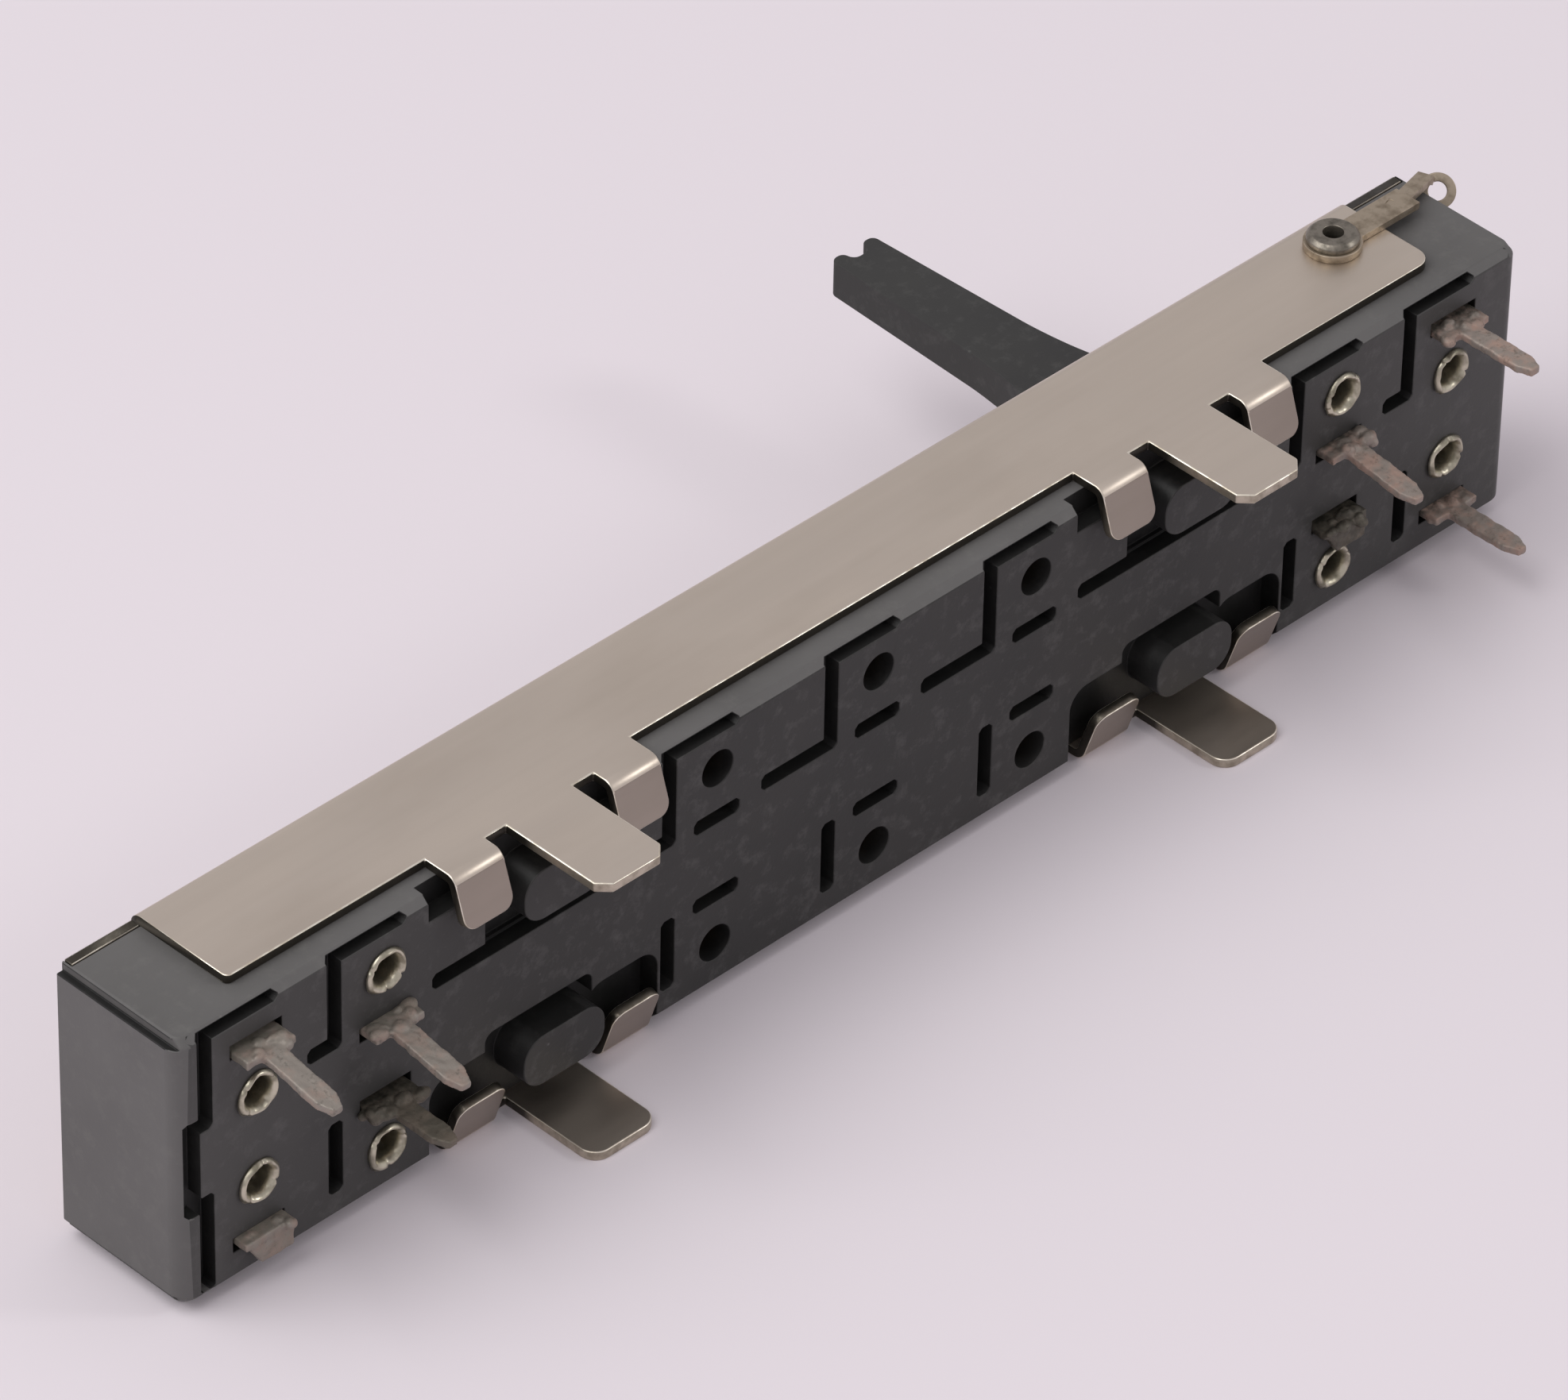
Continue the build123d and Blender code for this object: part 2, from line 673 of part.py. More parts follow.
def build():
    """Every node of the part by name."""
    nodes = {
        "housing": housing(),
        "cover": cover(),
        "element_board": element_board(),
        "slider": slider(),
        "ground_lug": ground_lug(),
        "ground_rivet": ground_rivet(),
    }
    for side_name, side in sides.items():
        nodes["resistor_track_" + side_name] = resistor_track(side)
        nodes["silver_prints_" + side_name] = silver_prints(side)
        nodes["wiper_" + side_name] = wiper(side)
        for place_name, (x, row, _) in terminal_places.items():
            nodes["terminal_" + side_name + "_" + place_name] = terminal(side_name, place_name)
            nodes["eyelet_" + side_name + "_" + place_name] = eyelet(side, x, row)
    return nodes


os.makedirs("parts", exist_ok=True)
for node_name, solid in build().items():
    export_step(solid, "parts/" + node_name + ".step")
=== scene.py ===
import math
import random

import bmesh
import bpy
from mathutils import Matrix, Vector, noise
from mathutils.bvhtree import BVHTree


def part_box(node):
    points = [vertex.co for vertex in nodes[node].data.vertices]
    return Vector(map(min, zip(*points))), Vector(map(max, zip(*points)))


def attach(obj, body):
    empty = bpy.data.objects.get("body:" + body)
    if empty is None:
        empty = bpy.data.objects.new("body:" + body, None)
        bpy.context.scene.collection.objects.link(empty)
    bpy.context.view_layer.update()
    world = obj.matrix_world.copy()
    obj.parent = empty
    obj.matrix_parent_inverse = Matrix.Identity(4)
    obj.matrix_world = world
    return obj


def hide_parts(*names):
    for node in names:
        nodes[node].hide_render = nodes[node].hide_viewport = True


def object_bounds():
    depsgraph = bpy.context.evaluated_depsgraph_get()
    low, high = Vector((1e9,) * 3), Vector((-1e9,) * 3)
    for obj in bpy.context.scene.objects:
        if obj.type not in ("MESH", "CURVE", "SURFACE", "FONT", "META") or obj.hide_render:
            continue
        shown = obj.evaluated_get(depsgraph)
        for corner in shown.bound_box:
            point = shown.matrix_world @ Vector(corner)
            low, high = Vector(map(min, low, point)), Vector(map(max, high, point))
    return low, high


# Dressed look of a two-gang slide potentiometer that lies on its lower side plate.
# Lengths are in metres; MM turns millimetres into metres. +X runs along the travel,
# +Y is the way the lever points and +Z is up, as in the solids.

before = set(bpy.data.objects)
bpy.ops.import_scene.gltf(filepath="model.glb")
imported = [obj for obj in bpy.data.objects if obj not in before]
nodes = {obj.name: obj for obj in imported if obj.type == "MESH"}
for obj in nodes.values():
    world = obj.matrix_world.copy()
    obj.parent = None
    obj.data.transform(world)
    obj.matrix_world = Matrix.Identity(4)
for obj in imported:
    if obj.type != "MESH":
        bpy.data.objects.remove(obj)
solid_low, solid_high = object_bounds()

MM = 0.001
CHASSIS = "chassis"
SLIDE = "slide"

# Places read from the solids. The bosses stand boss_lift out of the board face, and
# board_face is a point on that face in millimetres
housing_low, housing_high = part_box("housing")
boss_lift = 0.8 * MM
face_y = housing_low.y + boss_lift
middle_z = (housing_low.z + housing_high.z) / 2
top_z = housing_high.z
floor_z = solid_low.z
board_face = (0, face_y / MM, 0)

# Camera, as the photograph was taken, and the level of the surroundings
view_azimuth = math.radians(-45.3031)
view_elevation = math.radians(38.6242)
view_roll = math.radians(1.2719)
view_distance = 512.954 * MM
view_centre = Vector((-1.8195 * MM, face_y + 4.1048 * MM, 9.9951 * MM))
lens_length = 263.133
sensor_width = 36.0
surroundings_level = 0.74

# Sizes of the finish
weld_distance = 0.001 * MM
flat_angle = math.radians(0.6)
sharp_angle = math.radians(28)
moulding_edge = 0.055 * MM
sheet_edge = 0.08 * MM
small_edge = 0.04 * MM

# Painted light on the housing: how deep the paler faces reach on the sides, ends and corners, and the
# distances from the middle, in millimetres, between which a painted paleness grows along the board
# face
side_light_depth = 0.3 * MM
end_light_depth = 0.6 * MM
corner_light_depth = 1.2 * MM
light_growth = (20.0, 41.0)
recess_depth = 0.1 * MM

# Sheet of the cover, how far its side plates end short of the housing, and their corners.
# Edges within bend_room of the ends of the bends stay sharp
sheet = 0.5 * MM
plate_inset = 4.3 * MM
plate_corner_room = 1.0 * MM
plate_corner_right = 0.9 * MM
plate_corner_left = 0.3 * MM
bend_room = 0.7 * MM

# Rows of pins, out from the middle of the width, and the way that each gang lies
row_offsets = {"outer": 5.25 * MM, "inner": 2.25 * MM}
sides = {"upper": 1, "lower": -1}

# Rolled rim of the eyelets
eyelet_bore = 0.72 * MM
eyelet_barrel = 0.92 * MM
eyelet_rim = 1.12 * MM
eyelet_head = 1.25 * MM
eyelet_head_thickness = 0.3 * MM
eyelet_rise = 0.28 * MM
rim_splits = 3
lip_direction = math.radians(215)

# Solder beside each eyelet: the grain at which its lumps fuse, the height and width of the
# waves on their skin and the depth over which those set in. Then, in millimetres, where the
# lumps lie (along X, out of the board face and along Z) and half their sizes
solder_voxel = 0.065 * MM
solder_relief = 0.035 * MM
solder_wave = 0.45 * MM
relief_onset = 0.3 * MM
lump_places = ((-1.3, 1.3), (0.15, 1.0), (-0.12, 0.2))
lump_radii = ((0.25, 0.55), (0.2, 0.4), (0.2, 0.34))

# Lever: half its thickness, half its width at each corner, how far past the cover each corner
# lies, and the roundings
lever_half = 1.0 * MM
neck_half = 4.0 * MM
flare_half = 2.6 * MM
root_half = 1.85 * MM
tip_half = 1.4 * MM
notch_mouth_half = 0.62 * MM
notch_floor_half = 0.5 * MM
notch_depth = 0.7 * MM
neck_length = 3.2 * MM
flare_length = 4.6 * MM
root_length = 8.2 * MM
flare_rounding = 1.4 * MM
root_rounding = 1.7 * MM
tip_rounding = 0.35 * MM
notch_mouth_rounding = 0.3 * MM


def shade(red, green, blue):
    """Linear colour from the 0 to 255 values of a paint card."""
    def linear(value):
        value /= 255
        return value / 12.92 if value <= 0.04045 else ((value + 0.055) / 1.055) ** 2.4
    return (linear(red), linear(green), linear(blue), 1.0)


# Places of the colour sockets of a Mix node
mix_colour_inputs = (6, 7)
mix_colour_output = 2


class Finish:
    """A node material whose patterns follow Object coordinates, in millimetres."""

    def __init__(self, name, colour, roughness, metallic=0.0, specular=0.5):
        self.material = bpy.data.materials.new(name)
        self.material.use_nodes = True
        self.nodes = self.material.node_tree.nodes
        self.links = self.material.node_tree.links
        self.shader = self.nodes["Principled BSDF"]
        self.shader.inputs["Base Color"].default_value = colour
        self.shader.inputs["Roughness"].default_value = roughness
        self.shader.inputs["Metallic"].default_value = metallic
        self.shader.inputs["Specular IOR Level"].default_value = specular
        self.place = self.nodes.new("ShaderNodeTexCoord").outputs["Object"]
        self.bump_normal = None

    def mapped(self, size, stretch=(1, 1, 1), centre=(0, 0, 0)):
        """Object coordinates measured in steps of size millimetres, longer along stretch."""
        mapping = self.nodes.new("ShaderNodeMapping")
        mapping.vector_type = "POINT"
        scale = [1 / (size * MM * factor) for factor in stretch]
        mapping.inputs["Scale"].default_value = scale
        mapping.inputs["Location"].default_value = [-c * MM * s for c, s in zip(centre, scale)]
        self.links.new(self.place, mapping.inputs["Vector"])
        return mapping.outputs["Vector"]

    def noise(self, size, detail=3.0, stretch=(1, 1, 1), rough=0.55):
        """Cloudy pattern with features about size millimetres wide."""
        texture = self.nodes.new("ShaderNodeTexNoise")
        texture.inputs["Scale"].default_value = 1.0
        texture.inputs["Detail"].default_value = detail
        texture.inputs["Roughness"].default_value = rough
        self.links.new(self.mapped(size, stretch), texture.inputs["Vector"])
        return texture.outputs["Fac"]

    def specks(self, spacing, reach):
        """1 in small round spots, spacing millimetres apart, and 0 elsewhere."""
        texture = self.nodes.new("ShaderNodeTexVoronoi")
        texture.inputs["Scale"].default_value = 1.0
        texture.inputs["Randomness"].default_value = 1.0
        self.links.new(self.mapped(spacing), texture.inputs["Vector"])
        return self.range(texture.outputs["Distance"], reach, reach * 0.5, 0.0, 1.0)

    def along(self, axis, start=(0, 0, 0)):
        """Millimetres along an axis of the object, from a point given in millimetres."""
        parts = self.nodes.new("ShaderNodeSeparateXYZ")
        self.links.new(self.mapped(1.0, centre=start), parts.inputs["Vector"])
        return parts.outputs[axis]

    def range(self, value, low, high, out_low, out_high):
        """value, moved from low..high to out_low..out_high and held there."""
        ranged = self.nodes.new("ShaderNodeMapRange")
        ranged.inputs["From Min"].default_value = low
        ranged.inputs["From Max"].default_value = high
        ranged.inputs["To Min"].default_value = out_low
        ranged.inputs["To Max"].default_value = out_high
        self.links.new(value, ranged.inputs["Value"])
        return ranged.outputs["Result"]

    def join(self, first, second, operation="MULTIPLY"):
        """Two values joined by a math operation, by default their product."""
        joined = self.nodes.new("ShaderNodeMath")
        joined.operation = operation
        for socket, value in zip(joined.inputs, (first, second)):
            if isinstance(value, float):
                socket.default_value = value
            else:
                self.links.new(value, socket)
        return joined.outputs["Value"]

    def mix(self, share, first, second):
        """The colour first where share is 0 and second where it is 1."""
        mixed = self.nodes.new("ShaderNodeMix")
        mixed.data_type = "RGBA"
        self.links.new(share, mixed.inputs["Factor"])
        for place, value in zip(mix_colour_inputs, (first, second)):
            if isinstance(value, tuple):
                mixed.inputs[place].default_value = value
            else:
                self.links.new(value, mixed.inputs[place])
        return mixed.outputs[mix_colour_output]

    def colour(self, value):
        """Colours the surface by a pattern."""
        self.links.new(value, self.shader.inputs["Base Color"])

    def roughness(self, value):
        """Roughens the surface by a pattern."""
        self.links.new(value, self.shader.inputs["Roughness"])

    def bump(self, height, depth, strength=1.0):
        """Relief of depth millimetres where height goes from 0 to 1."""
        bump = self.nodes.new("ShaderNodeBump")
        bump.inputs["Strength"].default_value = strength
        bump.inputs["Distance"].default_value = depth * MM
        self.links.new(height, bump.inputs["Height"])
        if self.bump_normal:
            self.links.new(self.bump_normal, bump.inputs["Normal"])
        self.bump_normal = bump.outputs["Normal"]
        self.links.new(self.bump_normal, self.shader.inputs["Normal"])


def moulded_plastic(name, deep, pale, dust_and_light, roughness, end_light=0.0):
    """Dark moulding: faint clouds, fine grain, dust, rub marks and, if wanted, ends painted paler as
    painted light.
    """
    finish = Finish(name, deep, roughness, specular=0.3)
    clouds = finish.range(finish.noise(7.0, 4.0), 0.35, 0.7, 0.0, 1.0)
    tone = finish.mix(clouds, deep, pale)
    # Painted light: the tone turns paler towards both ends along X, for the light on them
    if end_light:
        end_distance = finish.join(finish.along("X"), 0.0, "ABSOLUTE")
        nearness = finish.range(end_distance, *light_growth, 0.0, end_light)
        tone = finish.mix(nearness, tone, dust_and_light)
    rubs = finish.range(finish.noise(0.9, 4.0, rough=0.7), 0.52, 0.8, 0.0, 0.4)
    tone = finish.mix(rubs, tone, dust_and_light)
    lint = finish.join(finish.specks(3.4, 0.03), 0.6)
    finish.colour(finish.mix(lint, tone, dust_and_light))
    finish.roughness(finish.range(clouds, 0.0, 1.0, roughness - 0.05, roughness + 0.08))
    finish.bump(finish.noise(0.18, 3.0), 0.012, 0.5)
    finish.bump(finish.noise(1.6, 2.0), 0.02, 0.4)
    return finish.material


def rolled_steel(name, bright, stained):
    """Tinned sheet steel: faint rolling streaks along X, stains and handling marks."""
    finish = Finish(name, bright, 0.36, metallic=1.0)
    streaks = finish.noise(0.5, 3.0, stretch=(50, 1, 1))
    stains = finish.range(finish.noise(8.0, 4.0, stretch=(2, 1, 1)), 0.48, 0.75, 0.0, 0.5)
    tone = finish.mix(stains, bright, stained)
    finish.colour(finish.mix(finish.range(streaks, 0.35, 0.8, 0.0, 0.12), tone, stained))
    finish.roughness(finish.range(finish.noise(3.0, 4.0, stretch=(4, 1, 1)), 0.3, 0.7, 0.34, 0.46))
    finish.bump(streaks, 0.002, 0.4)
    finish.bump(finish.noise(0.25, 2.0), 0.006, 0.5)
    finish.bump(finish.noise(9.0, 2.0), 0.05, 0.4)
    return finish.material


def sheared_steel(name, bright, dull, shade_tone=None):
    """Cut edge of the sheet: bright, torn and uneven, with painted shade beside the housing."""
    finish = Finish(name, bright, 0.42, metallic=0.85)
    torn = finish.range(finish.noise(0.7, 3.0), 0.4, 0.66, 0.0, 1.0)
    tone = finish.mix(torn, bright, dull)
    # Painted shade: darker within about a millimetre in front of the board face and behind it
    if shade_tone is not None:
        depth = finish.along("Y", board_face)
        tone = finish.mix(finish.range(depth, -1.0, -0.3, 0.0, 1.0), tone, shade_tone)
    finish.colour(tone)
    finish.roughness(finish.range(torn, 0.0, 1.0, 0.3, 0.5))
    finish.bump(finish.noise(0.12, 3.0), 0.012, 0.6)
    return finish.material


def solder_tin(name, bright, pink, dull, residue, residue_reach):
    """Dip-soldered terminal: matt grey tin, pinkish patches, and residue near the board face."""
    finish = Finish(name, bright, 0.6, metallic=0.4)
    patches = finish.range(finish.noise(0.9, 3.0), 0.42, 0.62, 0.0, 1.0)
    tone = finish.mix(patches, bright, pink)
    scabs = finish.range(finish.noise(0.35, 3.0, rough=0.7), 0.56, 0.72, 0.0, 0.7)
    tone = finish.mix(scabs, tone, dull)
    depth = finish.along("Y", board_face)
    near = finish.range(depth, -residue_reach, 0.0, 0.0, 1.0)
    cloud = finish.range(finish.noise(0.5, 3.0), 0.3, 0.62, 0.0, 1.0)
    finish.colour(finish.mix(finish.join(near, cloud), tone, residue))
    finish.roughness(finish.range(patches, 0.0, 1.0, 0.5, 0.68))
    finish.bump(finish.noise(0.2, 3.0), 0.03, 0.6)
    return finish.material


def plated_metal(name, bright, dull, roughness, patch_size):
    """Plated small part with tarnished patches."""
    finish = Finish(name, bright, roughness, metallic=0.95)
    tarnish = finish.range(finish.noise(patch_size, 4.0), 0.45, 0.68, 0.0, 1.0)
    finish.colour(finish.mix(tarnish, bright, dull))
    finish.roughness(finish.range(tarnish, 0.0, 1.0, roughness, roughness + 0.2))
    finish.bump(finish.noise(patch_size * 0.3, 3.0), 0.02, 0.5)
    return finish.material


def laminate(name, base, fibre):
    """Phenolic board with faint fibres."""
    finish = Finish(name, base, 0.55)
    weave = finish.range(finish.noise(0.4, 3.0, stretch=(5, 1, 1)), 0.4, 0.7, 0.0, 0.8)
    finish.colour(finish.mix(weave, base, fibre))
    finish.bump(weave, 0.01, 0.5)
    return finish.material


def print_ink(name, base, worn, roughness, metallic):
    """Screen-printed track, rubbed along the wiper's path."""
    finish = Finish(name, base, roughness, metallic=metallic)
    rubbed = finish.range(finish.noise(0.25, 3.0, stretch=(40, 1, 1)), 0.4, 0.7, 0.0, 1.0)
    finish.colour(finish.mix(rubbed, base, worn))
    finish.bump(rubbed, 0.004, 0.5)
    return finish.material


# The board face's tone, painted paler towards both ends as painted light
housing_finish = moulded_plastic("moulded_housing", shade(45, 45, 44), shade(57, 56, 55),
                                 shade(103, 102, 101), 0.5, 0.28)
# Painted light: a paler copy of the moulding for the narrow sides, ends and corners
painted_light_finish = moulded_plastic("housing_painted_light", shade(89, 88, 87), shade(99, 98, 97),
                               shade(112, 111, 108), 0.5)
# Painted shade: a darker copy of the moulding for the recesses and the faces turned away from the
# board's front
recess_finish = moulded_plastic("shaded_recesses", shade(27, 27, 27), shade(33, 33, 32),
                                shade(56, 56, 54), 0.5)
slider_finish = moulded_plastic("moulded_slider", shade(50, 50, 50), shade(57, 57, 56),
                                shade(88, 88, 86), 0.6)
steel_finish = rolled_steel("tinned_steel", shade(214, 203, 190), shade(190, 178, 163))
# Painted highlight: a lighter copy of the steel for the rounded edges of the sheet
edge_highlight_finish = sheared_steel("edge_highlight_steel", shade(240, 234, 220), shade(204, 194, 176))
# Painted shade: a darker copy of the steel for the flats of the clinched tabs
clinch_shade_finish = rolled_steel("clinch_painted_shade", shade(160, 150, 140), shade(138, 129, 119))
# Cut faces, with painted shade on the plate edges beside the housing
sheared_finish = sheared_steel("sheared_steel", shade(188, 178, 162), shade(152, 143, 128),
                                shade(72, 68, 61))
grey_tin = solder_tin("grey_solder", shade(142, 135, 127), shade(150, 134, 124), shade(98, 94, 86),
                      shade(122, 118, 107), 1.2)
pink_tin = solder_tin("pinkish_solder", shade(146, 136, 128), shade(166, 142, 130), shade(104, 94, 84),
                      shade(72, 69, 62), 1.3)
# Darker, browner solder for the lower inner pins, darkest near the board face
dark_tin = solder_tin("dark_solder", shade(100, 95, 85), shade(112, 103, 92), shade(62, 58, 50),
                       shade(54, 52, 45), 2.2)
eyelet_finish = plated_metal("plated_eyelet", shade(196, 190, 172), shade(140, 135, 118), 0.3, 0.8)
lug_finish = plated_metal("plated_lug", shade(178, 165, 147), shade(134, 122, 106), 0.45, 0.8)
rivet_finish = plated_metal("plated_rivet", shade(140, 134, 124), shade(98, 94, 86), 0.4, 0.6)
laminate_finish = laminate("phenolic_board", shade(122, 84, 48), shade(146, 106, 64))
carbon_finish = print_ink("carbon_ink", shade(38, 38, 40), shade(58, 58, 60), 0.45, 0.0)
silver_finish = print_ink("silver_ink", shade(196, 194, 190), shade(160, 158, 152), 0.35, 0.9)
bronze_finish = plated_metal("spring_bronze", shade(206, 160, 104), shade(168, 124, 78), 0.3, 0.6)


def merged_copy(node_name):
    """The solid's mesh as one closed shape with its flat faces whole."""
    shape = bmesh.new()
    shape.from_mesh(nodes[node_name].data)
    bmesh.ops.remove_doubles(shape, verts=shape.verts, dist=weld_distance)
    bmesh.ops.dissolve_limit(shape, angle_limit=flat_angle, verts=shape.verts, edges=shape.edges)
    return shape


def soften_edges(shape, width, segments=2, kept_sharp=()):
    """Rounds every sharp edge of a shape by a small radius, except those kept sharp."""
    sharp = [e for e in shape.edges
             if e.is_manifold and e.calc_face_angle() > sharp_angle and e not in kept_sharp]
    bmesh.ops.bevel(shape, geom=sharp, offset=width, segments=segments, profile=0.5,
                    affect="EDGES", material=-1, clamp_overlap=False)


def add_piece(name, shape, finishes, body, replaced):
    """Writes a shape out as a piece that rides on a body and stands for solids."""
    mesh = bpy.data.meshes.new(name)
    shape.to_mesh(mesh)
    shape.free()
    for finish in finishes:
        mesh.materials.append(finish)
    mesh.shade_smooth()
    piece = bpy.data.objects.new(name, mesh)
    bpy.context.scene.collection.objects.link(piece)
    even = piece.modifiers.new("even_normals", "WEIGHTED_NORMAL")
    even.weight = 100
    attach(piece, body)
    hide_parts(*replaced)


def paint_node(name, finish):
    """Gives a solid that stays its finish."""
    mesh = nodes[name].data
    mesh.materials.clear()
    mesh.materials.append(finish)


def softened_piece(node_name, piece_name, finish, body, width):
    """A copy of one solid with its edges rounded."""
    shape = merged_copy(node_name)
    soften_edges(shape, width)
    add_piece(piece_name, shape, [finish], body, [node_name])


# Finish of each face, by its place in the piece's list of materials
PLAIN = 0
PAINTED_LIGHT, RECESSED = 1, 2
HIGHLIGHTED, CUT, SHADED_CLINCH = 1, 2, 3


def housing_moulding():
    """The housing, painted paler on its narrow sides and ends as painted light, with painted shade in
    its recesses.
    """
    shape = merged_copy("housing")
    soften_edges(shape, moulding_edge)
    half_width = top_z - middle_z
    for face in shape.faces:
        middle = face.calc_center_median()
        normal = face.normal
        from_end = housing_high.x - abs(middle.x)
        from_side = half_width - abs(middle.z - middle_z)
        on_side = from_side < side_light_depth and abs(normal.z) > 0.7
        at_end = from_end < end_light_depth and abs(normal.z) < 0.3
        at_corner = from_end < corner_light_depth and min(abs(n) for n in normal) > 0.1
        outward = normal.x * middle.x > 0.1 * abs(middle.x)
        # Painted light: the sides, and the ends and corners that face outwards, get the paler copy
        if on_side or (outward and (at_end or at_corner)):
            face.material_index = PAINTED_LIGHT
        # Painted shade: faces set back from the board face, or turned away from its front
        elif middle.y > face_y + recess_depth or normal.y > -0.3:
            face.material_index = RECESSED
    add_piece("housing_moulding", shape, [housing_finish, painted_light_finish, recess_finish], CHASSIS,
              ["housing"])


def edge_middle(edge):
    """Midpoint of an edge."""
    return (edge.verts[0].co + edge.verts[1].co) / 2


def round_corners(shape, low, high, radius):
    """Rounds the corners of a sheet that run along Z inside a box."""
    corners = []
    for edge in shape.edges:
        middle = edge_middle(edge)
        run = edge.verts[1].co - edge.verts[0].co
        upright = abs(run.z) > 0.9 * run.length and run.length < 1.2 * sheet
        if upright and all(low[i] <= middle[i] <= high[i] for i in range(3)):
            corners.append(edge)
    bmesh.ops.bevel(shape, geom=corners, offset=radius, segments=6, profile=0.5,
                    affect="EDGES", material=-1, clamp_overlap=True)


def mark_cut_edges(shape):
    """Tells the rounded corners, which get a painted highlight, and the cut faces of a sheet by how
    much metal lies behind.

    That is one sheet behind a flat face, a little more behind a rounded edge and far more
    behind a cut face.
    """
    shape.normal_update()
    shape.faces.ensure_lookup_table()
    tree = BVHTree.FromBMesh(shape)
    inner_points = {}
    for corners in shape.calc_loop_triangles():
        first, second, third = (corner.vert.co for corner in corners)
        area = (second - first).cross(third - first).length
        face_index = corners[0].face.index
        if area > inner_points.get(face_index, (0, None))[0]:
            inner_points[face_index] = (area, (first + second + third) / 3)
    for face_index, (area, point) in inner_points.items():
        face = shape.faces[face_index]
        distance = tree.ray_cast(point - face.normal * weld_distance, -face.normal)[3]
        if distance is None or distance > 2 * sheet:
            face.material_index = CUT
        # Rounded edges, with a little more metal behind: painted highlight
        elif distance > 1.03 * sheet:
            face.material_index = HIGHLIGHTED


def cover_sheet():
    """The folded cover with rounded plate corners, bright cut edges, a painted highlight on its
    rounded edges and painted shade on the flats of its clinched tabs.
    """
    shape = merged_copy("cover")
    low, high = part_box("cover")
    plate_end = housing_high.x - plate_inset
    inside = plate_end - plate_corner_room
    round_corners(shape, Vector((inside, low.y, middle_z)), Vector((high.x, 0, high.z)),
                  plate_corner_right)
    round_corners(shape, Vector((low.x, low.y, middle_z)), Vector((-inside, 0, high.z)),
                  plate_corner_left)
    bend_ends = set()
    for edge in shape.edges:
        middle = edge_middle(edge)
        if abs(abs(middle.x) - plate_end) < bend_room and middle.y > high.y - sheet - bend_room:
            bend_ends.add(edge)
    soften_edges(shape, sheet_edge, 3, bend_ends)
    mark_cut_edges(shape)
    # Painted shade: plain faces in front of the board that face forward, the flats of the clinched
    # tabs
    for face in shape.faces:
        plain = face.material_index == PLAIN and face.calc_center_median().y < 0
        if plain and face.normal.y < -0.9:
            face.material_index = SHADED_CLINCH
    add_piece("cover_sheet", shape, [steel_finish, edge_highlight_finish, sheared_finish, clinch_shade_finish],
              CHASSIS, ["cover"])


def hump(turn, place, width):
    """1 where turn is at place around a circle, falling to 0 over an angle of about width."""
    return math.exp(-((math.remainder(turn - place, math.tau) / width) ** 2))


def eyelet(node_name, seed):
    """Hollow rivet whose rim is rolled over the board face, uneven and split."""
    low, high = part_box(node_name)
    middle = (low + high) / 2
    head_y = high.y - eyelet_head_thickness
    profile = [
        (eyelet_bore, high.y),
        (eyelet_bore, face_y + 0.2 * MM),
        (eyelet_bore + 0.06 * MM, face_y - 0.3 * eyelet_rise),
        (eyelet_bore + 0.18 * MM, face_y - 0.85 * eyelet_rise),
        (eyelet_bore + 0.26 * MM, face_y - eyelet_rise),
        (eyelet_rim - 0.1 * MM, face_y - 0.85 * eyelet_rise),
        (eyelet_rim, face_y - 0.4 * eyelet_rise),
        (eyelet_rim - 0.02 * MM, face_y),
        (eyelet_barrel, face_y),
        (eyelet_barrel, head_y),
        (eyelet_head, head_y),
        (eyelet_head, high.y),
    ]
    shape = bmesh.new()
    corners = [shape.verts.new((radius, y, 0)) for radius, y in profile]
    lines = [shape.edges.new(pair) for pair in zip(corners, corners[1:] + corners[:1])]
    bmesh.ops.spin(shape, geom=corners + lines, cent=(0, 0, 0), axis=(0, 1, 0),
                   angle=math.tau, steps=72, use_merge=True)
    bmesh.ops.remove_doubles(shape, verts=shape.verts, dist=weld_distance)
    bmesh.ops.recalc_face_normals(shape, faces=shape.faces)
    chance = random.Random(seed)
    splits = [math.tau * (i + chance.uniform(-0.4, 0.4)) / rim_splits for i in range(rim_splits)]
    wide = lip_direction + chance.uniform(-0.4, 0.4)
    for vert in shape.verts:
        rise = (face_y - vert.co.y) / eyelet_rise
        if rise > 0.05:
            turn = math.atan2(vert.co.z, vert.co.x)
            outward = Vector((vert.co.x, 0, vert.co.z)).normalized()
            wave = noise.noise(Vector((math.cos(turn) * 1.6, math.sin(turn) * 1.6, seed)))
            split = max(hump(turn, place, 0.08) for place in splits)
            lip = hump(turn, wide, 0.6)
            outer = max(0.0, (outward.dot(vert.co) - eyelet_bore) / (eyelet_rim - eyelet_bore))
            # The rim waves, leans out to a lip on one side and dips inwards at its splits
            vert.co += outward * (0.06 * wave + 0.14 * lip * outer - 0.07 * split * outer) * MM
            vert.co.y += rise * (0.35 * wave + 0.4 * split - 0.1 * lip) * eyelet_rise
    bmesh.ops.translate(shape, vec=(middle.x, 0, middle.z), verts=shape.verts)
    add_piece(node_name + "_rolled", shape, [eyelet_finish], CHASSIS, [node_name])


